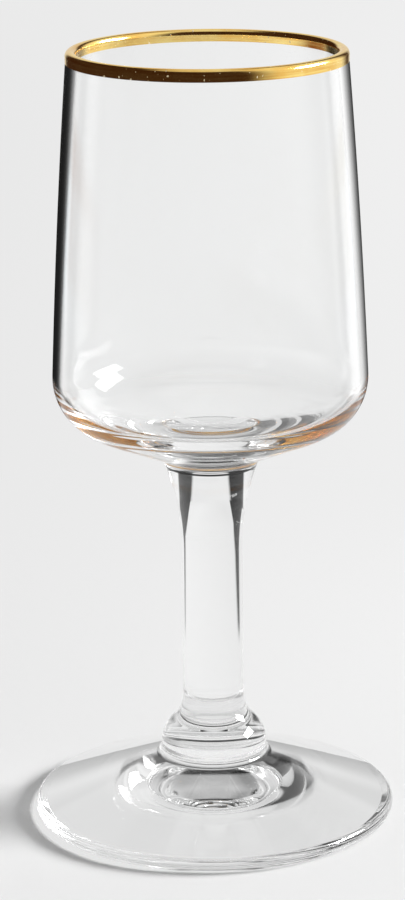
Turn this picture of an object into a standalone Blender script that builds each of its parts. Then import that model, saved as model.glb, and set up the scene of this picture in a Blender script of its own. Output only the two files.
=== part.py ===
"""Stemmed liqueur glass with a gilt lip.

Five turned pieces stand on one axis: the foot, the bell knop, the stem, the blown bowl and the
gold band fired over its lip. Lengths are metres, +Z is up, and the origin is the centre of the
ring that the glass stands on. A profile is a list of (radius, height) points above the piece's
own seat, and a Screw modifier turns it about the axis.
"""

import math

import bpy

# Foot
FOOT_RADIUS = 0.0246
FOOT_EDGE_THICKNESS = 0.0022
FOOT_CROWN_HEIGHT = 0.00915
FOOT_FILLET_RADIUS = 0.0012

# Underside of the foot: the ring it rests on, and the hollow with its flat middle
REST_RING_WIDTH = 0.0010
RING_ROUND_RADIUS = 0.0005
HOLLOW_HEIGHT = 0.0029
HOLLOW_SLOPE = math.radians(16.5)
HOLLOW_FLAT_SHARE = 0.422

# Knop
KNOP_RADIUS = 0.0072
KNOP_HEIGHT = 0.00705

# Stem
STEM_RADIUS = 0.00412
STEM_SHAFT_LENGTH = 0.02025
FLARE_LENGTH = 0.0122
FLARE_RADIUS = 0.0350

# Bowl, with heights above the underside of its boss
BOWL_HEIGHT = 0.05545
RIM_RADIUS = 0.0185
WALL_ARC_RADIUS = 1.150
BELLY_RADIUS = 0.02105
BELLY_HEIGHT = 0.0118
CORNER_RADIUS = 0.0078
BOSS_FILLET_RADIUS = 0.0016
LIP_THICKNESS = 0.0015
BELLY_THICKNESS = 0.00095
INNER_CORNER_RADIUS = 0.0055
FLOOR_DISH_DEPTH = 0.0012

# Gilding
GILT_HEIGHT = 0.0016
GILT_THICKNESS = 0.0002

# Clearances between pieces that are fused on the real glass
JOINT_GAP = 0.0003
GILT_GAP = 0.0001

# Fineness of the turned surfaces
SIDES = 48
ARC_STEP = math.radians(10)
LONG_ARC_STEPS = 6
LIP_STEPS = 8
AXIS_MERGE = 0.00001

GLASS_COLOUR = (0.96, 0.975, 0.97, 1.0)
GLASS_ROUGHNESS = 0.02
GLASS_IOR = 1.52
GOLD_COLOUR = (0.83, 0.56, 0.17, 1.0)
GOLD_ROUGHNESS = 0.14

DOWN = -math.pi / 2
UP = math.pi / 2


def on_circle(centre, radius, angle):
    """The point of a circle at an angle from the outward direction."""
    return (centre[0] + radius * math.cos(angle), centre[1] + radius * math.sin(angle))


def arc(centre, radius, start, end, steps=None):
    """Points along a circle from one angle to another, both ends included."""
    count = steps or math.ceil(abs(end - start) / ARC_STEP)
    return [on_circle(centre, radius, start + (end - start) * i / count) for i in range(count + 1)]


def rounded(centre, radius, start, end):
    """An arc that passes its widest point, which is kept as one of its points."""
    return arc(centre, radius, start, 0.0)[:-1] + arc(centre, radius, 0.0, end)


def direction(start, end):
    """The angle of the way from one point to another."""
    return math.atan2(end[1] - start[1], end[0] - start[0])


def cross_tangent(start, start_radius, end, end_radius, side):
    """The way of the line that touches two circles and crosses between them.

    side is 1 where the line leaves the first circle on its left, and -1 on its right.
    """
    lean = math.asin((start_radius + end_radius) / math.dist(start, end))
    return direction(start, end) + side * lean


def wall_centre(rim, corner, corner_radius, wall_radius):
    """Centre of the wall's long arc, which passes the rim and runs on into the corner's arc."""
    reach = math.dist(rim, corner)
    along = (reach**2 + wall_radius**2 - (wall_radius - corner_radius) ** 2) / (2 * reach)
    aside = math.sqrt(wall_radius**2 - along**2)
    way = direction(rim, corner)
    return (
        rim[0] + along * math.cos(way) - aside * math.cos(way + UP),
        rim[1] + along * math.sin(way) - aside * math.sin(way + UP),
    )


def barrel(rim, corner, corner_radius, end_angle):
    """A bowl's side from the rim down: the long arc of the wall, then the corner at its foot."""
    centre = wall_centre(rim, corner, corner_radius, WALL_ARC_RADIUS)
    meet = direction(centre, corner)
    wall = arc(centre, WALL_ARC_RADIUS, direction(centre, rim), meet, LONG_ARC_STEPS)
    return wall[:-1] + rounded(corner, corner_radius, meet, end_angle)


def flare_radius(height):
    """Radius of the stem at a height above the start of its flare."""
    return STEM_RADIUS + FLARE_RADIUS - math.sqrt(FLARE_RADIUS**2 - height**2)


def boss_radius():
    """Radius where the stem and the boss of the bowl meet."""
    return flare_radius(FLARE_LENGTH)


def hollow_points(ring_inside):
    """Underside from the ring inwards: a small round, a climb and a wide round into the flat."""
    ring_round = (ring_inside, RING_ROUND_RADIUS)
    flat = ring_inside * HOLLOW_FLAT_SHARE
    inwards = (ring_inside - flat) * math.sin(HOLLOW_SLOPE)
    upwards = HOLLOW_HEIGHT * math.cos(HOLLOW_SLOPE)
    wide = (inwards - upwards) / (1 - math.cos(HOLLOW_SLOPE)) - RING_ROUND_RADIUS
    return [
        *arc(ring_round, RING_ROUND_RADIUS, DOWN, DOWN - HOLLOW_SLOPE),
        *arc((flat, HOLLOW_HEIGHT - wide), wide, UP - HOLLOW_SLOPE, UP, LONG_ARC_STEPS),
        (0.0, HOLLOW_HEIGHT),
    ]


def foot_profile():
    """Foot, from the crown under the knop to the middle of the hollow underside."""
    edge_radius = FOOT_EDGE_THICKNESS / 2
    fillet = (KNOP_RADIUS + FOOT_FILLET_RADIUS, FOOT_CROWN_HEIGHT)
    edge = (FOOT_RADIUS - edge_radius, edge_radius)
    slope = cross_tangent(fillet, FOOT_FILLET_RADIUS, edge, edge_radius, 1)
    return [
        (0.0, FOOT_CROWN_HEIGHT),
        *arc(fillet, FOOT_FILLET_RADIUS, math.pi, math.pi + UP + slope),
        *rounded(edge, edge_radius, UP + slope, DOWN),
        *hollow_points(edge[0] - REST_RING_WIDTH),
    ]


def knop_profile():
    """Knop, an ogee of two equal arcs from the stem's radius out to the foot's crown."""
    step_out = KNOP_RADIUS - STEM_RADIUS
    turn = 2 * math.atan2(step_out, KNOP_HEIGHT)
    bend = KNOP_HEIGHT / (2 * math.sin(turn))
    neck = (STEM_RADIUS + bend, KNOP_HEIGHT)
    shoulder = (KNOP_RADIUS - bend, 0.0)
    hollow = arc(neck, bend, math.pi, math.pi + turn)
    return [(0.0, KNOP_HEIGHT), *hollow[:-1], *arc(shoulder, bend, turn, 0.0), (0.0, 0.0)]


def stem_profile():
    """Stem, a plain shaft below and a flare above that ends at the bowl's boss."""
    bend = (STEM_RADIUS + FLARE_RADIUS, STEM_SHAFT_LENGTH)
    top = math.asin(FLARE_LENGTH / FLARE_RADIUS)
    return [
        (0.0, STEM_SHAFT_LENGTH + FLARE_LENGTH),
        *arc(bend, FLARE_RADIUS, math.pi - top, math.pi, LONG_ARC_STEPS),
        (STEM_RADIUS, 0.0),
        (0.0, 0.0),
    ]


def lip_centre():
    """Centre of the round of the lip."""
    return (RIM_RADIUS - LIP_THICKNESS / 2, BOWL_HEIGHT - LIP_THICKNESS / 2)


def lip_loop(depth, foot_height):
    """The lip at a depth below the finished surface: up its inner side, over, and down outside."""
    centre = lip_centre()
    radius = LIP_THICKNESS / 2 - depth
    return [
        (centre[0] - radius, foot_height),
        *arc(centre, radius, math.pi, 0.0, LIP_STEPS),
        (centre[0] + radius, foot_height),
    ]


def gilt_foot():
    """Height of the gold band's lower edge."""
    return BOWL_HEIGHT - GILT_HEIGHT


def bowl_profile():
    """Bowl, from the middle of its floor up the inside, over the lip and down to the boss."""
    ledge = gilt_foot() - GILT_GAP
    outer_rim = (RIM_RADIUS, ledge)
    inner_rim = (RIM_RADIUS - LIP_THICKNESS, ledge)
    inner_corner = (BELLY_RADIUS - BELLY_THICKNESS - INNER_CORNER_RADIUS, BELLY_HEIGHT)
    floor = BELLY_HEIGHT - INNER_CORNER_RADIUS - FLOOR_DISH_DEPTH
    dish = (
        inner_corner[0] ** 2 + 2 * INNER_CORNER_RADIUS * FLOOR_DISH_DEPTH + FLOOR_DISH_DEPTH**2
    ) / (2 * FLOOR_DISH_DEPTH)
    dish_centre = (0.0, floor + dish)
    dish_end = direction(dish_centre, inner_corner)
    inside = barrel(inner_rim, inner_corner, INNER_CORNER_RADIUS, dish_end)
    inside += arc(dish_centre, dish, dish_end, DOWN, LONG_ARC_STEPS)[1:]

    outer_corner = (BELLY_RADIUS - CORNER_RADIUS, BELLY_HEIGHT)
    boss_lean = math.asin(FLARE_LENGTH / FLARE_RADIUS)
    fillet = on_circle((boss_radius(), 0.0), BOSS_FILLET_RADIUS, -boss_lean)
    slope = cross_tangent(fillet, BOSS_FILLET_RADIUS, outer_corner, CORNER_RADIUS, -1)
    outside = barrel(outer_rim, outer_corner, CORNER_RADIUS, slope + DOWN)
    outside += arc(fillet, BOSS_FILLET_RADIUS, slope + UP, math.pi - boss_lean)
    return inside[::-1] + lip_loop(GILT_THICKNESS + GILT_GAP, ledge) + outside + [(0.0, 0.0)]


def gilt_profile():
    """Gold band, a thin cap over the lip, as a closed loop that starts at its inner foot."""
    under = lip_loop(GILT_THICKNESS, gilt_foot())
    return lip_loop(0.0, gilt_foot()) + under[::-1]


def finish(name, colour, roughness, metallic, transmission):
    """A plain Principled material for one piece."""
    material = bpy.data.materials.new(name)
    material.use_nodes = True
    shader = material.node_tree.nodes["Principled BSDF"]
    shader.inputs["Base Color"].default_value = colour
    shader.inputs["Roughness"].default_value = roughness
    shader.inputs["Metallic"].default_value = metallic
    shader.inputs["Transmission Weight"].default_value = transmission
    shader.inputs["IOR"].default_value = GLASS_IOR
    return material


def glass(piece):
    """Clear glass for the named piece."""
    return finish(f"{piece}_glass", GLASS_COLOUR, GLASS_ROUGHNESS, 0.0, 1.0)


def gold(piece):
    """Burnished gold for the named piece."""
    return finish(f"{piece}_gold", GOLD_COLOUR, GOLD_ROUGHNESS, 1.0, 0.0)


def turned(name, profile, seat, material, closed=False):
    """One turned piece, standing at the height of its seat.

    closed joins the end of the profile to its start, for a ring that leaves the axis free.
    """
    points = [(radius, 0.0, height) for radius, height in profile]
    last = len(points) if closed else len(points) - 1
    edges = [(i, (i + 1) % len(points)) for i in range(last)]
    mesh = bpy.data.meshes.new(name)
    mesh.from_pydata(points, edges, [])
    mesh.materials.append(material)
    piece = bpy.data.objects.new(name, mesh)
    piece.location.z = seat
    turn = piece.modifiers.new("Turn", "SCREW")
    turn.axis = "Z"
    turn.steps = SIDES
    turn.render_steps = SIDES
    turn.use_merge_vertices = True
    turn.merge_threshold = AXIS_MERGE
    turn.use_smooth_shade = True
    return piece


def build():
    """Stand the five pieces on one another under an empty at the middle of the rest ring."""
    for leftover in list(bpy.data.objects):
        bpy.data.objects.remove(leftover)

    knop_seat = FOOT_CROWN_HEIGHT + JOINT_GAP
    stem_seat = knop_seat + KNOP_HEIGHT + JOINT_GAP
    bowl_seat = stem_seat + STEM_SHAFT_LENGTH + FLARE_LENGTH + JOINT_GAP
    pieces = [
        turned("foot", foot_profile(), 0.0, glass("foot")),
        turned("knop", knop_profile(), knop_seat, glass("knop")),
        turned("stem", stem_profile(), stem_seat, glass("stem")),
        turned("bowl", bowl_profile(), bowl_seat, glass("bowl")),
        turned("gilt_rim", gilt_profile(), bowl_seat, gold("gilt_rim"), closed=True),
    ]
    parts = bpy.data.collections.new("liqueur_glass")
    bpy.context.scene.collection.children.link(parts)
    stand = bpy.data.objects.new("rest_centre", None)
    parts.objects.link(stand)
    for piece in pieces:
        parts.objects.link(piece)
        piece.parent = stand


build()
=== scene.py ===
"""Looks of a stemmed liqueur glass with a gold lip.

The foot, knop, stem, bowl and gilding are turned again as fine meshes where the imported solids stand. The
four glass pieces meet face to face, and the faces where they are fused show nothing, so that light passes
the joints as it does in one body of glass.
"""

import logging
import math
from dataclasses import dataclass
from enum import Enum
from typing import Any, Union

import bmesh
import bpy
from mathutils import Matrix, Vector


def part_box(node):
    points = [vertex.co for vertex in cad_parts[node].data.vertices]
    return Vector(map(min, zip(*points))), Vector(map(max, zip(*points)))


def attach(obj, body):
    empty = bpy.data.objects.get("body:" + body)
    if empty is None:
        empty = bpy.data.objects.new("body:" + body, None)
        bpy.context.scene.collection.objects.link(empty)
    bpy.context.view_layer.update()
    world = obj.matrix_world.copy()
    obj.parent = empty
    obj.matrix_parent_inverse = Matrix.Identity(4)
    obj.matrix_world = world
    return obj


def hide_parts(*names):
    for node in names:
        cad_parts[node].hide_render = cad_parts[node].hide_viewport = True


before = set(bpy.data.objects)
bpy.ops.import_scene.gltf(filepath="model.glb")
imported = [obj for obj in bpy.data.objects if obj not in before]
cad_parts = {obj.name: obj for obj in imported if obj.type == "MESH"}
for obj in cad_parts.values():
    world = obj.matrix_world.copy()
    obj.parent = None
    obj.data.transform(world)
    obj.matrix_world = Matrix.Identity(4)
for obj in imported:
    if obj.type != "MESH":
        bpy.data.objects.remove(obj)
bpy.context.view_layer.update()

LOG = logging.getLogger("liqueur_glass")
BODY = "root"

UP = math.pi / 2
DOWN = -math.pi / 2

Point = tuple[float, float]
Span = tuple[float, float]
Colour = tuple[float, float, float, float]
Value = Union["Signal", float, tuple]


class Slot(Enum):
    """Material slots of the record."""

    GLASS = "clear_glass"
    GILDING = "gilding"


class Path(Enum):
    """What the Light Path node tells of the light that arrives."""

    STRAIGHT = "Is Camera Ray"
    SHARP = "Is Singular Ray"
    SCATTERED = "Diffuse Depth"
    MIRRORED = "Glossy Depth"
    CROSSED = "Transmission Depth"
    LENGTH = "Ray Length"


def grey(level: float) -> Colour:
    """An opaque grey of this brightness."""
    return (level, level, level, 1.0)


class Signal:
    """One output in a shader graph, which takes part in Python arithmetic."""

    def __init__(self, graph: "Graph", socket: bpy.types.NodeSocket) -> None:
        """Keeps the socket and the graph that new nodes go into."""
        self.graph = graph
        self.socket = socket

    def math(self, operation: str, *others: Value) -> "Signal":
        """Adds a Math node.

        Args:
            operation: Blender's name of the operation.
            others: the second and third values, where the operation has them.

        Returns:
            The node's result.
        """
        return self.graph.node("ShaderNodeMath", {"operation": operation}, dict(enumerate((self, *others))))

    def __add__(self, other: Value) -> "Signal":
        """Sum."""
        return self.math("ADD", other)

    __radd__ = __add__

    def __sub__(self, other: Value) -> "Signal":
        """Difference."""
        return self.math("SUBTRACT", other)

    def __rsub__(self, other: Value) -> "Signal":
        """Difference from a plain number."""
        return self.graph.node("ShaderNodeMath", {"operation": "SUBTRACT"}, {0: other, 1: self})

    def __mul__(self, other: Value) -> "Signal":
        """Product."""
        return self.math("MULTIPLY", other)

    __rmul__ = __mul__

    def __truediv__(self, other: Value) -> "Signal":
        """Quotient."""
        return self.math("DIVIDE", other)

    def smooth(self, low: float, high: float) -> "Signal":
        """A soft step.

        Args:
            low: the value where the step starts.
            high: the value where it ends; it may be below low, for a step down.

        Returns:
            0 before the step, 1 after it and a smooth rise between.
        """
        sockets = {"Value": self, "From Min": low, "From Max": high}
        return self.graph.node("ShaderNodeMapRange", {"interpolation_type": "SMOOTHSTEP"}, sockets)

    def ramp(self, stops: list[tuple[float, float]]) -> "Signal":
        """A grey ramp.

        Args:
            stops: pairs of a place from 0 to 1 and the value there.

        Returns:
            The ramp's value.
        """
        colours = [(place, grey(value)) for place, value in stops]
        return self.graph.node("ShaderNodeValToRGB", {"stops": colours}, {"Fac": self})


class Graph:
    """Adds nodes to a node tree."""

    NEARLY = 0.1
    FIRST_COLOUR = 6
    SECOND_COLOUR = 7
    MIXED_COLOUR = 2

    def __init__(self, owner: Union[bpy.types.Material, bpy.types.World]) -> None:
        """Clears the owner's node tree."""
        owner.use_nodes = True
        self.tree = owner.node_tree
        self.tree.nodes.clear()

    def node(
        self,
        kind: str,
        settings: dict[str, Any] | None = None,
        sockets: dict[Union[str, int], Value] | None = None,
        output: Union[str, int] = 0,
    ) -> Signal:
        """Adds one node.

        Args:
            kind: the node's type.
            settings: its properties, which are set first; "stops" are a colour ramp's.
            sockets: values or links of its inputs, by name or number.
            output: the output to return, by name or number.

        Returns:
            That output.
        """
        made = self.tree.nodes.new(kind)
        for name, value in (settings or {}).items():
            if name == "stops":
                self.fill_ramp(made.color_ramp, value)
            else:
                setattr(made, name, value)
        for name, value in (sockets or {}).items():
            self.feed(made.inputs[name], value)
        return Signal(self, made.outputs[output]) if made.outputs else Signal(self, None)

    @staticmethod
    def fill_ramp(ramp: bpy.types.ColorRamp, stops: list[tuple[float, Colour]]) -> None:
        """Gives a colour ramp these stops alone."""
        while len(ramp.elements) < len(stops):
            ramp.elements.new(1.0)
        for element, (place, colour) in zip(ramp.elements, stops):
            element.position = place
            element.color = colour

    def feed(self, socket: bpy.types.NodeSocket, value: Value) -> None:
        """Links a signal to an input, or sets the input's own value."""
        if isinstance(value, Signal):
            self.tree.links.new(value.socket, socket)
        else:
            socket.default_value = value

    def mix(self, share: Value, first: Signal, second: Signal) -> Signal:
        """Mixes two shaders, with share of the second."""
        return self.node("ShaderNodeMixShader", sockets={0: share, 1: first, 2: second})

    def blend(self, share: Value, first: Value, second: Value) -> Signal:
        """Mixes two colours, with share of the second."""
        settings = {"data_type": "RGBA", "clamp_factor": False}
        sockets = {0: share, self.FIRST_COLOUR: first, self.SECOND_COLOUR: second}
        return self.node("ShaderNodeMix", settings, sockets, output=self.MIXED_COLOUR)

    def noise(self, place: Signal, scale: float, detail: float) -> Signal:
        """Soft noise of a scale per metre."""
        sockets = {"Vector": place, "Scale": scale, "Detail": detail}
        return self.node("ShaderNodeTexNoise", sockets=sockets)

    def apart(self, vector: Signal) -> tuple[Signal, Signal, Signal]:
        """The three numbers of a vector."""
        split = self.node("ShaderNodeSeparateXYZ", sockets={0: vector}).socket.node
        return tuple(Signal(self, split.outputs[axis]) for axis in "XYZ")

    def own_place(self) -> Signal:
        """Object coordinates, in metres."""
        return self.node("ShaderNodeTexCoord", output="Object")

    def path(self, fact: Path) -> Signal:
        """One output of the Light Path node."""
        return self.node("ShaderNodeLightPath", output=fact.value)

    def ever(self, fact: Path) -> Signal:
        """1 where the count is one or more, and 0 where it is none."""
        return self.path(fact).math("MINIMUM", 1.0)

    def exactly(self, fact: Path, count: int) -> Signal:
        """1 where the count is this, and 0 elsewhere."""
        return self.path(fact).math("COMPARE", float(count), self.NEARLY)

    def finish(self, shader: Signal) -> None:
        """Makes shader the material's surface."""
        self.node("ShaderNodeOutputMaterial", sockets={"Surface": shader})


@dataclass(frozen=True)
class GlassFinish:
    """Clear fire-polished glass with faint ripples from the making and a trace of smudging."""

    tint: Colour = (0.995, 0.998, 0.997, 1.0)
    bend: float = 1.52
    ripple_scale: float = 160.0
    ripple_detail: float = 1.0
    ripple_depth: float = 0.000004
    smudge_scale: float = 90.0
    smudge_detail: float = 4.0
    smudge_edge: Span = (0.55, 0.75)
    smudge_roughness: float = 0.003
    film: Colour = (0.985, 0.986, 0.982, 1.0)
    # Painted shade: colour and width of the fine dark line round the stem's upper joint.
    painted_joint_shade: Colour = (0.0002, 0.0002, 0.0002, 1.0)
    joint_shade_half: float = 0.00012
    joint_shade_soft: float = 0.00008

    def material(self, name: str, joint_shade_height: float) -> bpy.types.Material:
        """The finish as a material.

        Args:
            name: the material's name.
            joint_shade_height: where the painted shade lies, a fine dark line round the stem's upper joint.

        Returns:
            The material.
        """
        material = bpy.data.materials.new(name)
        graph = Graph(material)
        place = graph.own_place()
        _, _, z = graph.apart(place)
        # Painted shade: the glass's colour is darkened to a fine dark line round the stem's upper joint.
        line = (z - joint_shade_height).math("ABSOLUTE").smooth(self.joint_shade_half + self.joint_shade_soft, self.joint_shade_half)
        ripple = graph.noise(place, self.ripple_scale, self.ripple_detail)
        smudge = graph.noise(place, self.smudge_scale, self.smudge_detail).smooth(*self.smudge_edge)
        bump = graph.node(
            "ShaderNodeBump",
            sockets={"Strength": 1.0, "Distance": self.ripple_depth, "Height": ripple},
        )
        tone = graph.blend(smudge, self.tint, self.film)
        sockets = {
            "Base Color": graph.blend(line, tone, self.painted_joint_shade),
            "Roughness": smudge * self.smudge_roughness,
            "IOR": self.bend,
            "Transmission Weight": 1.0,
            "Normal": bump,
        }
        graph.finish(graph.node("ShaderNodeBsdfPrincipled", sockets=sockets))
        return material


@dataclass(frozen=True)
class WeldFinish:
    """The face where two glass pieces are fused, which shows nothing."""

    def material(self, name: str) -> bpy.types.Material:
        """The finish as a material of this name."""
        material = bpy.data.materials.new(name)
        graph = Graph(material)
        graph.finish(graph.node("ShaderNodeBsdfPrincipled", sockets={"Alpha": 0.0}))
        return material


@dataclass(frozen=True)
class GoldFinish:
    """Burnished gold fired on glass, streaked along the band and worn in specks, which are painted pale
    cream as glints.
    """

    colour: Colour = (0.95, 0.75, 0.29, 1.0)
    deep_colour: Colour = (0.78, 0.46, 0.11, 1.0)
    roughness: float = 0.08
    streak_roughness: float = 0.14
    streak_depth: float = 0.000006
    streaks_around: float = 2.0
    streaks_up: float = 4000.0
    streak_detail: float = 5.0
    streak_share: float = 0.6
    patch_scale: float = 260.0
    patch_detail: float = 3.0
    tone_edge: Span = (0.35, 0.65)
    # Pale cream of the worn places: partly wear, partly a painted highlight.
    worn_glint_colour: Colour = (0.88, 0.74, 0.48, 1.0)
    speck_scale: float = 3000.0
    speck_detail: float = 0.0
    speck_edge: Span = (0.79, 0.83)

    def material(self, name: str) -> bpy.types.Material:
        """The finish as a material.

        Args:
            name: the material's name.

        Returns:
            The material.
        """
        material = bpy.data.materials.new(name)
        graph = Graph(material)
        place = graph.own_place()
        x, y, z = graph.apart(place)
        turn = y.math("ARCTAN2", x) * self.streaks_around
        along = graph.node("ShaderNodeCombineXYZ", sockets={"X": turn, "Y": z * self.streaks_up})
        streak = graph.noise(along, 1.0, self.streak_detail)
        patch = graph.noise(place, self.patch_scale, self.patch_detail)
        tone = (streak * self.streak_share + patch * (1.0 - self.streak_share)).smooth(*self.tone_edge)
        # Worn places, painted pale cream and not metallic so that they read as glints: partly wear, partly
        # painted highlight.
        worn_glint_speck = graph.noise(place, self.speck_scale, self.speck_detail).smooth(*self.speck_edge)
        bump = graph.node(
            "ShaderNodeBump",
            sockets={"Strength": 1.0, "Distance": self.streak_depth, "Height": streak},
        )
        gold = graph.blend(tone, self.deep_colour, self.colour)
        sockets = {
            "Base Color": graph.blend(worn_glint_speck, gold, self.worn_glint_colour),
            "Roughness": streak * self.streak_roughness + self.roughness,
            "Metallic": 1.0 - worn_glint_speck,
            "Normal": bump,
        }
        graph.finish(graph.node("ShaderNodeBsdfPrincipled", sockets=sockets))
        return material


def heading(start: Point, end: Point) -> float:
    """The angle of the way from one point to another."""
    return math.atan2(end[1] - start[1], end[0] - start[0])


def on_circle(centre: Point, radius: float, angle: float) -> Point:
    """The point of a circle at an angle from the outward direction."""
    return (centre[0] + radius * math.cos(angle), centre[1] + radius * math.sin(angle))


def cross_tangent(start: Point, start_radius: float, end: Point, end_radius: float, side: int) -> float:
    """The way of the line that touches two circles and crosses between them.

    Args:
        start: centre of the first circle.
        start_radius: its radius.
        end: centre of the second circle.
        end_radius: its radius.
        side: 1 where the line leaves the first circle on its left, and -1 on its right.

    Returns:
        The line's angle.
    """
    lean = math.asin((start_radius + end_radius) / math.dist(start, end))
    return heading(start, end) + side * lean


class Lathe:
    """Draws a profile of (radius, height) points with bmesh operators and turns it about the axis."""

    SIDES = 256
    CHORD = 0.0003
    LARGEST_TURN = math.radians(3)
    LONG_CHORD = 0.0010
    LIP_CHORD = CHORD / 3
    SHARP = math.radians(30)
    AXIS = 1e-7

    def __init__(self, start: Point) -> None:
        """Puts the pen down at the start."""
        self.mesh = bmesh.new()
        self.tip = self.mesh.verts.new((start[0], 0.0, start[1]))

    def here(self) -> Point:
        """Where the pen is."""
        return (self.tip.co.x, self.tip.co.z)

    def line_to(self, point: Point) -> "Lathe":
        """Draws a straight stretch.

        Args:
            point: where it ends.

        Returns:
            The lathe itself.
        """
        made = bmesh.ops.extrude_vert_indiv(self.mesh, verts=[self.tip])
        self.tip = made["verts"][0]
        self.tip.co = Vector((point[0], 0.0, point[1]))
        return self

    def sweep(self, centre: Point, end: float, chord: float = CHORD) -> "Lathe":
        """Draws an arc the shorter way round.

        Args:
            centre: the arc's centre.
            end: the angle it ends at, seen from the centre.
            chord: the longest step along it.

        Returns:
            The lathe itself.
        """
        start = heading(centre, self.here())
        angle = (end - start + math.pi) % math.tau - math.pi
        length = abs(angle) * math.dist(centre, self.here())
        steps = max(1, math.ceil(length / chord), math.ceil(abs(angle) / self.LARGEST_TURN))
        made = bmesh.ops.spin(
            self.mesh,
            geom=[self.tip],
            cent=(centre[0], 0.0, centre[1]),
            axis=(0.0, -1.0, 0.0),
            angle=angle,
            steps=steps,
        )
        self.tip = next(part for part in made["geom_last"] if isinstance(part, bmesh.types.BMVert))
        return self

    def turned(self, name: str, finish: bpy.types.Material, weld: bpy.types.Material) -> bpy.types.Object:
        """Turns the profile into a closed piece.

        Args:
            name: the object's name.
            finish: material of the turned surface.
            weld: material of the flat faces that close open ends.

        Returns:
            The object, at the origin.
        """
        shape = self.mesh
        bmesh.ops.spin(
            shape,
            geom=shape.verts[:] + shape.edges[:],
            axis=(0.0, 0.0, 1.0),
            cent=(0.0, 0.0, 0.0),
            angle=math.tau,
            steps=self.SIDES,
            use_merge=True,
        )
        bmesh.ops.remove_doubles(shape, verts=shape.verts[:], dist=self.AXIS)
        open_edges = [edge for edge in shape.edges if edge.is_boundary]
        caps = bmesh.ops.edgeloop_fill(shape, edges=open_edges)["faces"] if open_edges else []
        bmesh.ops.recalc_face_normals(shape, faces=shape.faces[:])
        for face in shape.faces:
            face.smooth = True
        for face in caps:
            face.material_index = 1
            face.smooth = False
        for edge in shape.edges:
            edge.smooth = edge.calc_face_angle(math.pi) < self.SHARP
        data = bpy.data.meshes.new(name)
        shape.to_mesh(data)
        shape.free()
        data.materials.append(finish)
        data.materials.append(weld)
        piece = bpy.data.objects.new(name, data)
        bpy.context.scene.collection.objects.link(piece)
        return piece


@dataclass(frozen=True)
class Stack:
    """Heights and radii that the pieces share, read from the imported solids."""

    knop_seat: float
    stem_seat: float
    bowl_seat: float
    top: float
    half_gap: float
    foot_radius: float
    knop_radius: float
    boss_radius: float
    belly_radius: float
    rim_radius: float

    @classmethod
    def read(cls) -> "Stack":
        """Reads the frame; each joint lies in the middle of the gap between two solids."""
        boxes = {node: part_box(node) for node in ("foot", "knop", "stem", "bowl", "gilt_rim")}
        low = {node: box[0].z for node, box in boxes.items()}
        high = {node: box[1].z for node, box in boxes.items()}
        reach = {node: box[1].x for node, box in boxes.items()}
        return cls(
            knop_seat=(high["foot"] + low["knop"]) / 2,
            stem_seat=(high["knop"] + low["stem"]) / 2,
            bowl_seat=(high["stem"] + low["bowl"]) / 2,
            top=high["gilt_rim"],
            half_gap=(low["knop"] - high["foot"]) / 2,
            foot_radius=reach["foot"],
            knop_radius=reach["knop"],
            boss_radius=reach["stem"],
            belly_radius=reach["bowl"],
            rim_radius=reach["gilt_rim"],
        )


@dataclass
class Foot:
    """Round foot with a rounded edge and a sloping top, hollow underneath inside the ring it rests on."""

    stack: Stack
    edge_thickness: float = 0.0022
    fillet: float = 0.0012
    ring_width: float = 0.0010
    ring_round: float = 0.0005
    hollow_height: float = 0.0029
    hollow_slope: float = math.radians(16.5)
    hollow_flat_share: float = 0.422

    def wide_round(self, run: float) -> float:
        """Radius of the round from the hollow's climb into its flat, whose ends are this far apart."""
        inwards = run * math.sin(self.hollow_slope)
        upwards = self.hollow_height * math.cos(self.hollow_slope)
        return (inwards - upwards) / (1 - math.cos(self.hollow_slope)) - self.ring_round

    def profile(self) -> Lathe:
        """The outline from the crown, out over the edge and under to the middle."""
        stack = self.stack
        half_edge = self.edge_thickness / 2
        crown = stack.knop_seat - stack.half_gap
        fillet = (stack.knop_radius + self.fillet, crown)
        edge = (stack.foot_radius - half_edge, half_edge)
        slope = cross_tangent(fillet, self.fillet, edge, half_edge, 1)
        ring = (edge[0] - self.ring_width, 0.0)
        flat = ring[0] * self.hollow_flat_share
        wide = self.wide_round(ring[0] - flat)
        pen = Lathe((stack.knop_radius, stack.knop_seat))
        pen.line_to((stack.knop_radius, crown))
        pen.sweep(fillet, math.pi + UP + slope)
        pen.line_to(on_circle(edge, half_edge, UP + slope))
        pen.sweep(edge, DOWN)
        pen.line_to(ring)
        pen.sweep((ring[0], self.ring_round), DOWN - self.hollow_slope)
        pen.line_to(on_circle((flat, self.hollow_height - wide), wide, UP - self.hollow_slope))
        pen.sweep((flat, self.hollow_height - wide), UP)
        pen.line_to((0.0, self.hollow_height))
        return pen

    def build(self, glass: bpy.types.Material, weld: bpy.types.Material) -> bpy.types.Object:
        """Makes the piece in its glass."""
        return dress(self.profile().turned("foot_glass", glass, weld), "foot")


@dataclass
class Knop:
    """Bell-shaped collar, an ogee of two equal arcs."""

    stack: Stack
    stem_radius: float

    def profile(self) -> Lathe:
        """The outline from the foot's crown up to the stem."""
        stack = self.stack
        low = stack.knop_seat + stack.half_gap
        high = stack.stem_seat - stack.half_gap
        rise = high - low
        turn = 2 * math.atan2(stack.knop_radius - self.stem_radius, rise)
        bend = rise / (2 * math.sin(turn))
        pen = Lathe((stack.knop_radius, stack.knop_seat))
        pen.line_to((stack.knop_radius, low))
        pen.sweep((stack.knop_radius - bend, low), turn)
        pen.sweep((self.stem_radius + bend, high), math.pi)
        pen.line_to((self.stem_radius, stack.stem_seat))
        return pen

    def build(self, glass: bpy.types.Material, weld: bpy.types.Material) -> bpy.types.Object:
        """Makes the piece in its glass."""
        return dress(self.profile().turned("knop_glass", glass, weld), "knop")


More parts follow.
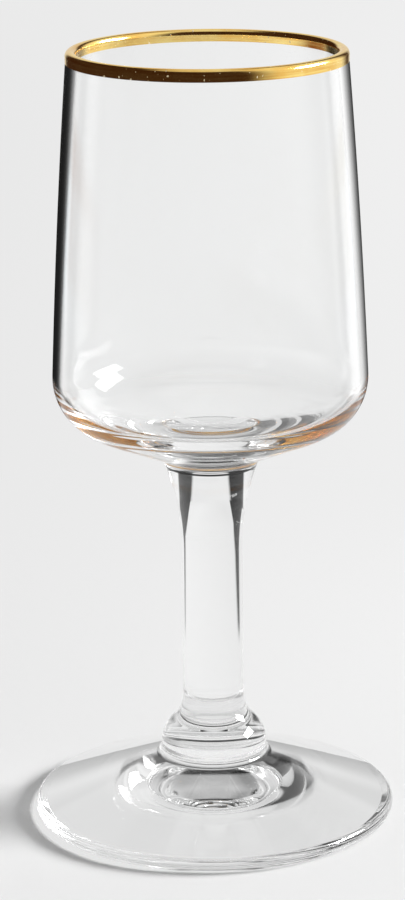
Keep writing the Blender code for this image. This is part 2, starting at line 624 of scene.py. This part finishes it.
@dataclass
class Stem:
    """Solid round stem, flared where it runs into the bowl."""

    stack: Stack
    radius: float = 0.00412
    flare_radius: float = 0.0350
    # Painted shade: how far below the joint with the bowl the dark line lies.
    joint_shade_below_joint: float = 0.0003

    def joint_shade_height(self) -> float:
        """Height of the painted shade, a fine dark line round the joint with the bowl."""
        return self.stack.bowl_seat - self.joint_shade_below_joint

    def flare_angle(self) -> float:
        """How far the stem's side leans out where it meets the bowl."""
        return math.acos(1 - (self.stack.boss_radius - self.radius) / self.flare_radius)

    def profile(self) -> Lathe:
        """The outline from the knop up to the bowl."""
        stack = self.stack
        lean = self.flare_angle()
        start = stack.bowl_seat - self.flare_radius * math.sin(lean)
        pen = Lathe((self.radius, stack.stem_seat))
        pen.line_to((self.radius, start))
        pen.sweep((self.radius + self.flare_radius, start), math.pi - lean)
        return pen

    def build(self, glass: bpy.types.Material, weld: bpy.types.Material) -> bpy.types.Object:
        """Makes the piece in its glass."""
        return dress(self.profile().turned("stem_glass", glass, weld), "stem")


@dataclass
class Bowl:
    """Blown bowl: a thin barrelled wall, a round lip and a thick dished base with a boss below."""

    stack: Stack
    boss_lean: float
    belly_rise: float = 0.0118
    wall_arc: float = 1.150
    corner: float = 0.0078
    boss_fillet: float = 0.0016
    lip_thickness: float = 0.0015
    belly_thickness: float = 0.00095
    inner_corner: float = 0.0055
    dish_depth: float = 0.0012
    gilt_height: float = 0.0016
    gilt_proud: float = 0.00003

    def wall_centre(self, rim: Point, corner: Point, corner_radius: float) -> Point:
        """Centre of the wall's long arc, which passes the rim and runs on into the corner's arc."""
        reach = math.dist(rim, corner)
        along = (reach**2 + self.wall_arc**2 - (self.wall_arc - corner_radius) ** 2) / (2 * reach)
        aside = math.sqrt(self.wall_arc**2 - along**2)
        way = heading(rim, corner)
        foot = on_circle(rim, along, way)
        return on_circle(foot, -aside, way + UP)

    def profile(self) -> Lathe:
        """The outline from the boss up the outside, over the lip and down to the middle of the floor."""
        stack = self.stack
        belly = stack.bowl_seat + stack.half_gap + self.belly_rise
        ledge = stack.top - self.gilt_height
        half_lip = self.lip_thickness / 2
        lip = (stack.rim_radius - half_lip, stack.top - half_lip)
        outer_rim = (stack.rim_radius - self.gilt_proud, ledge)
        inner_rim = (stack.rim_radius - self.lip_thickness + self.gilt_proud, ledge)

        corner = (stack.belly_radius - self.corner, belly)
        fillet = on_circle((stack.boss_radius, stack.bowl_seat), self.boss_fillet, -self.boss_lean)
        slope = cross_tangent(fillet, self.boss_fillet, corner, self.corner, -1)
        wall = self.wall_centre(outer_rim, corner, self.corner)

        inner = (stack.belly_radius - self.belly_thickness - self.inner_corner, belly)
        inner_wall = self.wall_centre(inner_rim, inner, self.inner_corner)
        floor = belly - self.inner_corner - self.dish_depth
        dish = (inner[0] ** 2 + 2 * self.inner_corner * self.dish_depth + self.dish_depth**2) / (
            2 * self.dish_depth
        )
        dish_centre = (0.0, floor + dish)

        pen = Lathe((stack.boss_radius, stack.bowl_seat))
        pen.sweep(fillet, slope + UP)
        pen.line_to(on_circle(corner, self.corner, slope + DOWN))
        pen.sweep(corner, heading(wall, corner))
        pen.sweep(wall, heading(wall, outer_rim), Lathe.LONG_CHORD)
        pen.line_to((outer_rim[0], lip[1]))
        pen.sweep(lip, UP)
        pen.sweep(lip, math.pi)
        pen.line_to(inner_rim)
        pen.sweep(inner_wall, heading(inner_wall, inner), Lathe.LONG_CHORD)
        pen.sweep(inner, heading(dish_centre, inner))
        pen.sweep(dish_centre, DOWN)
        return pen

    def build(self, glass: bpy.types.Material, weld: bpy.types.Material) -> bpy.types.Object:
        """Makes the piece in its glass."""
        return dress(self.profile().turned("bowl_glass", glass, weld), "bowl")


@dataclass
class GiltRim:
    """Gold band over the lip, whose back lies in the glass."""

    stack: Stack
    lip_thickness: float
    height: float
    depth: float = 0.00008

    def profile(self) -> Lathe:
        """The outline round the band: up the inner side, over, down outside and back under."""
        stack = self.stack
        half_lip = self.lip_thickness / 2
        lip = (stack.rim_radius - half_lip, stack.top - half_lip)
        foot = stack.top - self.height
        back = half_lip - self.depth
        pen = Lathe((lip[0] - half_lip, foot))
        pen.line_to((lip[0] - half_lip, lip[1]))
        pen.sweep(lip, UP, Lathe.LIP_CHORD)
        pen.sweep(lip, 0.0, Lathe.LIP_CHORD)
        pen.line_to((lip[0] + half_lip, foot))
        pen.line_to((lip[0] + back, foot))
        pen.line_to((lip[0] + back, lip[1]))
        pen.sweep(lip, UP, Lathe.LIP_CHORD)
        pen.sweep(lip, math.pi, Lathe.LIP_CHORD)
        pen.line_to((lip[0] - back, foot))
        pen.line_to((lip[0] - half_lip, foot))
        return pen

    def build(self, gold: bpy.types.Material) -> bpy.types.Object:
        """Makes the piece in its gold."""
        return dress(self.profile().turned("gilt_band", gold, gold), "gilt_rim")


def dress(piece: bpy.types.Object, node: str) -> bpy.types.Object:
    """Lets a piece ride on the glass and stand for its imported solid.

    Args:
        piece: the finished object.
        node: the solid that it stands for.

    Returns:
        The piece.
    """
    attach(piece, BODY)
    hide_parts(node)
    LOG.info("%s: %d faces", piece.name, len(piece.data.polygons))
    return piece


@dataclass(frozen=True)
class TableEdge:
    """A straight edge on the table top beside the glass, which slants outwards behind it."""

    slope: float
    start: float
    end: float

    def past(self, side: Signal, behind: Signal) -> Signal:
        """1 on the far side of the edge and 0 on the near one.

        Args:
            side: the distance to the left or right of the glass.
            behind: the distance behind it.

        Returns:
            The soft step.
        """
        return (side - behind * self.slope).smooth(self.start, self.end)


@dataclass
class Studio:
    """Pale paper under and behind the glass, a window at its right, and the room that the glass shows.

    Distances are metres from the glass's axis. Heights in the room run from 0 at the horizon to 1 overhead.
    """

    pale: float = 0.84
    paper: float = 0.80
    paper_reach: float = 1.5
    paper_drop: float = 0.00005
    ambient: float = 0.34

    # Painted light on the paper: a pool of light under the foot and a little past its edge away from the
    # window, for light that passes through the glass.
    painted_light_under_foot: float = 0.78
    painted_light_edge: Span = (0.0244, 0.0236)
    painted_light_spill: float = 0.0014
    painted_spill_edge: Span = (0.2, 0.8)
    fade: Span = (0.05, 0.17)
    # Painted light: the pale ground leans brighter to the right, on the window's side.
    painted_slant: float = 0.45
    painted_slant_limit: float = 0.05
    painted_slant_fade: Span = (1.2, 0.4)

    room_start: Span = (0.15, 0.18)
    band_start: Span = (0.38, 0.58)
    band_end: Span = (1.30, 0.95)
    band_shift: float = 0.55
    band_behind: Span = (math.radians(41), math.radians(49))
    band_front: Span = (math.radians(95), math.radians(65))
    core_crossings: Span = (3.2, 3.8)
    core_edge: Span = (math.radians(35), math.radians(25))
    ring_edge: Span = (0.032, 0.040)
    ring_back: Span = (0.0, 0.01)
    ring_light: Span = (0.066, 0.060)
    window_glow: Colour = (1.05, 1.00, 0.86, 1.0)
    dark_wood: Colour = (0.045, 0.018, 0.009, 1.0)
    lit_wood: Colour = (0.30, 0.10, 0.012, 1.0)

    middle: Span = (-0.02, 0.02)
    table_start: Span = (0.066, 0.080)
    right_dark: float = 0.06
    left_near: TableEdge = TableEdge(0.48, 0.022, 0.036)
    left_far: TableEdge = TableEdge(0.33, 0.057, 0.071)
    left_end: TableEdge = TableEdge(1.25, -0.004, 0.012)
    right_near: TableEdge = TableEdge(0.95, 0.015, 0.030)
    right_far: TableEdge = TableEdge(0.44, 0.070, 0.090)
    right_end: TableEdge = TableEdge(1.60, -0.004, 0.012)

    overhead_start: Span = (0.10, 0.30)
    low_sides_end: Span = (0.42, 0.50)
    lip_start: Span = (0.88, 0.97)
    flare_widening: float = 2.7

    window_azimuth: float = math.radians(83)
    window_height: float = math.radians(26)
    window_distance: float = 1.6
    window_width: float = 0.76
    window_tall: float = 0.42
    window_watts: float = 43.0

    @staticmethod
    def around(azimuth: Signal, places: tuple[tuple[float, float], ...]) -> Signal:
        """A brightness that changes around the glass.

        Args:
            azimuth: the direction in radians, 0 behind the glass and positive to the right.
            places: pairs of a direction in degrees and the brightness there.

        Returns:
            The brightness.
        """
        stops = [((degrees + 180) / 360, level) for degrees, level in places]
        return (azimuth / math.tau + 0.5).ramp(stops)

    def room(self, azimuth: Signal) -> Signal:
        """How bright the room is near the horizon: dark behind the paper and bright on each side of that."""
        places = (
            (-180, 0.90),
            (-137, 0.95),
            (-95, 1.12),
            (-75, 0.90),
            (-60, 0.68),
            (-54, 0.70),
            (-50, 1.00),
            (-46, 1.05),
            (-43, 0.60),
            (-40, 0.22),
            (-38, 0.10),
            (-34, 0.03),
            (-28, 0.01),
            (8, 0.01),
            (14, 0.06),
            (20, 0.12),
            (25, 0.27),
            (30, 0.45),
            (34, 0.70),
            (40, 1.00),
            (46, 1.50),
            (58, 1.50),
            (69, 0.80),
            (85, 0.76),
            (125, 0.85),
            (180, 0.90),
        )
        return self.around(azimuth, places)

    def deep(self, azimuth: Signal) -> Signal:
        """How bright the room is near the horizon for light that was mirrored more than once."""
        places = (
            (-180, 0.95),
            (-166, 0.90),
            (-158, 0.06),
            (-136, 0.10),
            (-128, 0.60),
            (-116, 0.80),
            (-100, 0.30),
            (-88, 0.02),
            (-48, 0.02),
            (-42, 0.60),
            (-36, 0.60),
            (-28, 0.03),
            (4, 0.02),
            (14, 0.15),
            (24, 0.60),
            (35, 0.85),
            (60, 1.00),
            (180, 0.95),
        )
        return self.around(azimuth, places)

    def gilded(self, azimuth: Signal, wood: Colour) -> Signal:
        """What the gold mirrors: the window's side, pale paper behind, and elsewhere a wooden table top.

        Args:
            azimuth: the direction in radians.
            wood: how the table top looks from there.

        Returns:
            The colour.
        """
        places = (
            (-180, 0.00),
            (-24, 0.00),
            (-16, 0.80),
            (14, 0.80),
            (22, 0.02),
            (30, 0.02),
            (44, 1.00),
            (120, 1.00),
            (146, 0.00),
            (180, 0.00),
        )
        return azimuth.graph.blend(self.around(azimuth, places), wood, self.window_glow)

    def overhead(self, rise: Signal) -> Signal:
        """How bright the room behind is by height, from the horizon to straight up."""
        stops = (
            (0.00, 0.74),
            (0.17, 0.78),
            (0.34, 0.86),
            (0.50, 0.72),
            (0.64, 0.52),
            (0.76, 0.46),
            (0.80, 0.02),
            (0.89, 0.02),
            (0.93, 0.75),
            (1.00, 0.75),
        )
        return rise.ramp(list(stops))

    def sides(self, azimuth: Signal) -> Signal:
        """How much of the brightness overhead is left in each direction, for light mirrored once."""
        places = (
            (-180, 0.70),
            (-120, 0.55),
            (-60, 0.50),
            (-26, 0.56),
            (-14, 0.96),
            (10, 1.00),
            (24, 0.86),
            (60, 0.90),
            (180, 0.70),
        )
        return self.around(azimuth, places)

    def low_sides(self, azimuth: Signal) -> Signal:
        """The same nearer to the horizon, with a dark strip on each side, which the fillets show."""
        places = (
            (-180, 0.70),
            (-120, 0.55),
            (-60, 0.50),
            (-42, 0.40),
            (-38, 0.03),
            (-23, 0.03),
            (-18, 0.96),
            (10, 1.00),
            (17, 0.90),
            (20, 0.06),
            (33, 0.06),
            (38, 0.86),
            (60, 0.90),
            (180, 0.70),
        )
        return self.around(azimuth, places)

    def deep_sides(self, azimuth: Signal) -> Signal:
        """How much of the brightness overhead is left in each direction, for light mirrored more often."""
        places = (
            (-180, 0.80),
            (-140, 0.60),
            (-105, 0.30),
            (-90, 0.06),
            (-34, 0.05),
            (-14, 1.00),
            (60, 1.05),
            (180, 0.80),
        )
        return self.around(azimuth, places)

    def beside(self, azimuth: Signal) -> Signal:
        """What the flared stem shows of the room: pale behind it, and a dark strip on each side."""
        places = (
            (-180, 0.84),
            (-58, 0.90),
            (-52, 0.01),
            (-22, 0.00),
            (-19, 0.84),
            (22, 0.84),
            (25, 0.05),
            (55, 0.08),
            (61, 0.95),
            (180, 0.84),
        )
        return self.around(azimuth, places)

    def floor(self) -> bpy.types.Object:
        """Makes the paper.

        Returns:
            The floor, which is stage.
        """
        shape = bmesh.new()
        bmesh.ops.create_grid(shape, x_segments=1, y_segments=1, size=self.paper_reach)
        bmesh.ops.translate(shape, verts=shape.verts[:], vec=(0.0, 0.0, -self.paper_drop))
        data = bpy.data.meshes.new("paper")
        shape.to_mesh(data)
        shape.free()
        data.materials.append(self.paper_material())
        floor = bpy.data.objects.new("paper", data)
        bpy.context.scene.collection.objects.link(floor)
        return floor

    @staticmethod
    def light(graph: Graph, level: Value) -> Signal:
        """An emission shader of this grey or colour."""
        colour = level if isinstance(level, Signal) else grey(level)
        return graph.node("ShaderNodeEmission", sockets={"Color": colour, "Strength": 1.0})

    def paper_shader(self, graph: Graph, x: Signal, y: Signal, distance: Signal) -> Signal:
        """Lit paper with painted light under the foot and just past its edge away from the window, which
        fades into a pale ground painted brighter to the right, on the window's side.

        Args:
            graph: the paper's graph.
            x: the place to the right of the glass.
            y: the place behind it.
            distance: how far from its axis that is.

        Returns:
            The shader.
        """
        lit = graph.node("ShaderNodeBsdfDiffuse", sockets={"Color": grey(self.paper)})
        # Painted light: the paper glows under the foot and a little past its edge away from the window, in
        # place of light that passes through the glass.
        from_window = x * -math.sin(self.window_azimuth) + y * -math.cos(self.window_azimuth)
        spill = (from_window / distance).smooth(*self.painted_spill_edge) * self.painted_light_spill
        under = (distance - spill).smooth(*self.painted_light_edge)
        near = graph.mix(under, lit, self.light(graph, self.painted_light_under_foot))
        # Painted light: the pale ground is brighter to the right, on the window's side.
        painted_slant = (x * self.painted_slant).math("MAXIMUM", -self.painted_slant_limit).math("MINIMUM", self.painted_slant_limit)
        even = painted_slant * distance.smooth(*self.painted_slant_fade) + self.pale
        return graph.mix(distance.smooth(*self.fade), near, self.light(graph, even))

    def room_shader(self, graph: Graph, distance: Signal, azimuth: Signal) -> Signal:
        """The room as the glass and the gold mirror it below the horizon.

        Args:
            graph: the paper's graph.
            distance: how far away the paper is met.
            azimuth: the direction in radians.

        Returns:
            The shader.
        """
        crossings = graph.path(Path.CROSSED)
        inner_face = graph.exactly(Path.CROSSED, 2)
        outer_face = graph.exactly(Path.CROSSED, 0)
        once = graph.exactly(Path.MIRRORED, 1)
        gold = 1.0 - graph.path(Path.SHARP)
        turned = azimuth.math("ABSOLUTE")

        # The two faces of a thin wall show the wooden band in opposite ways, so only the base keeps it.
        reach = distance / (1.0 - outer_face * distance * self.band_shift)
        band = reach.smooth(*self.band_start) * reach.smooth(*self.band_end)
        band = band * turned.smooth(*self.band_behind) * turned.smooth(*self.band_front)
        wooden = (inner_face - outer_face) * once * band
        core = crossings.smooth(*self.core_crossings) * once * turned.smooth(*self.core_edge)

        level = graph.blend(once, self.deep(azimuth), self.room(azimuth))
        level = graph.blend(wooden, level, self.gilded(azimuth, self.lit_wood))
        level = graph.blend(core, level, grey(self.pale))
        level = graph.blend(gold, level, self.gilded(azimuth, self.dark_wood))
        return self.light(graph, level)

    def off_table(self, x: Signal, y: Signal, distance: Signal) -> Signal:
        """Where the stem shows the dark beside the pale table top: 1 there and 0 elsewhere.

        Args:
            x: the place to the right of the glass.
            y: the place behind it.
            distance: how far from its axis that is.

        Returns:
            The share of the dark.
        """
        side = x.math("ABSOLUTE")
        behind = y.math("MAXIMUM", 0.0)
        right = x.smooth(*self.middle)
        left = 1.0 - right
        past_left = self.left_near.past(side, behind).math("MAXIMUM", self.left_far.past(side, behind))
        past_right = self.right_near.past(side, behind).math("MAXIMUM", self.right_far.past(side, behind))
        ended = right * self.right_end.past(side, behind) + left * self.left_end.past(side, behind)
        past = right * past_right + left * past_left
        return past * (1.0 - ended) * distance.smooth(*self.table_start)

    def paper_material(self) -> bpy.types.Material:
        """Paper to the camera and to scattered light, and the room where the glass mirrors or bends it."""
        material = bpy.data.materials.new("paper")
        graph = Graph(material)
        x, y, _ = graph.apart(graph.own_place())
        distance = (x * x + y * y).math("SQRT")
        twice = graph.exactly(Path.CROSSED, 2)
        once = graph.exactly(Path.MIRRORED, 1)
        unscattered = 1.0 - graph.ever(Path.SCATTERED)

        paper = self.paper_shader(graph, x, y, distance)
        dark = self.light(graph, x.smooth(*self.middle) * self.right_dark)
        ground = graph.mix(twice * self.off_table(x, y, distance), paper, dark)

        ring = distance.smooth(*self.ring_edge) * y.smooth(*self.ring_back)
        ring = ring * graph.path(Path.LENGTH).smooth(*self.ring_light)
        beyond = distance.smooth(*self.room_start).math("MAXIMUM", ring * twice * once)
        room = self.room_shader(graph, distance, x.math("ARCTAN2", y))
        in_glass = graph.mix(graph.ever(Path.MIRRORED) * beyond, ground, room)
        graph.finish(graph.mix(unscattered, paper, in_glass))
        return material

    def world(self) -> None:
        """Makes the room around: even and pale to the camera, and by direction in the glass and the gold."""
        world = bpy.data.worlds.new("room")
        bpy.context.scene.world = world
        graph = Graph(world)
        x, y, z = graph.apart(graph.node("ShaderNodeTexCoord", output="Generated"))
        azimuth = x.math("ARCTAN2", y)
        mirrored = graph.ever(Path.MIRRORED)
        once = graph.exactly(Path.MIRRORED, 1)
        gold = 1.0 - graph.path(Path.SHARP)

        level = graph.blend(once, self.deep(azimuth), self.room(azimuth))
        sides = graph.blend(z.smooth(*self.low_sides_end), self.low_sides(azimuth), self.sides(azimuth))
        high = self.overhead(z) * graph.blend(once, self.deep_sides(azimuth), sides)
        in_glass = graph.blend(z.smooth(*self.overhead_start), level, high)
        bent = self.beside(azimuth * (z * self.flare_widening + 1.0))
        in_glass = graph.blend(mirrored, bent, in_glass)
        around_gold = self.gilded(azimuth, self.dark_wood)
        in_gold = graph.blend(z.smooth(*self.lip_start), around_gold, grey(self.pale))

        seen = graph.blend(mirrored * gold, in_glass, in_gold)
        tone = graph.blend(graph.ever(Path.SCATTERED), seen, grey(self.ambient))
        tone = graph.blend(graph.path(Path.STRAIGHT), tone, grey(self.pale))
        background = graph.node("ShaderNodeBackground", sockets={"Color": tone, "Strength": 1.0})
        graph.node("ShaderNodeOutputWorld", sockets={"Surface": background})

    def window(self) -> bpy.types.Object:
        """Makes the window light.

        Returns:
            The lamp.
        """
        lamp = bpy.data.lights.new("window", "AREA")
        lamp.shape = "RECTANGLE"
        lamp.size = self.window_width
        lamp.size_y = self.window_tall
        lamp.energy = self.window_watts
        window = bpy.data.objects.new("window", lamp)
        level = math.cos(self.window_height) * self.window_distance
        window.location = (
            level * math.sin(self.window_azimuth),
            level * math.cos(self.window_azimuth),
            math.sin(self.window_height) * self.window_distance,
        )
        window.rotation_mode = "QUATERNION"
        window.rotation_quaternion = window.location.to_track_quat("Z", "Y")
        bpy.context.scene.collection.objects.link(window)
        return window

    def build(self) -> None:
        """Sets the whole stage."""
        self.floor()
        self.world()
        self.window()


@dataclass
class Camera:
    """The photograph's viewpoint."""

    distance: float = 0.4128
    height: float = 0.1657
    aside: float = -0.00115
    pitch: float = math.radians(15.54)
    roll: float = math.radians(0.62)
    focal_pixels: float = 3192.0
    frame_height_pixels: float = 900.0
    sensor: float = 36.0
    nearest: float = 0.01

    def build(self) -> bpy.types.Object:
        """Makes the camera the scene's own.

        Returns:
            The camera.
        """
        data = bpy.data.cameras.new("camera")
        data.sensor_width = self.sensor
        data.lens = self.sensor * self.focal_pixels / self.frame_height_pixels
        data.clip_start = self.nearest
        camera = bpy.data.objects.new("camera", data)
        place = Matrix.Translation((self.aside, -self.distance, self.height))
        tilt = Matrix.Rotation(UP - self.pitch, 4, "X")
        roll = Matrix.Rotation(-self.roll, 4, "Z")
        camera.matrix_world = place @ tilt @ roll
        bpy.context.scene.collection.objects.link(camera)
        bpy.context.scene.camera = camera
        return camera


def light_paths() -> None:
    """Lets light take enough turns inside the glass, and keeps colours as they are written."""
    scene = bpy.context.scene
    scene.view_settings.view_transform = "Standard"
    scene.cycles.max_bounces = 256
    scene.cycles.transmission_bounces = 64
    scene.cycles.glossy_bounces = 256
    scene.cycles.transparent_max_bounces = 40


def main() -> None:
    """Builds the stage and the pieces in order, and reports each piece."""
    logging.basicConfig(level=logging.INFO, format="%(name)s: %(message)s")
    light_paths()
    Camera().build()
    Studio().build()

    stack = Stack.read()
    stem = Stem(stack)
    glass = GlassFinish().material("clear_glass", stem.joint_shade_height())
    weld = WeldFinish().material("weld")
    gold = GoldFinish().material("burnished_gold")
    bowl = Bowl(stack, stem.flare_angle())
    Foot(stack).build(glass, weld)
    Knop(stack, stem.radius).build(glass, weld)
    stem.build(glass, weld)
    bowl.build(glass, weld)
    GiltRim(stack, bowl.lip_thickness, bowl.gilt_height).build(gold)


if __name__ == "__main__":
    main()
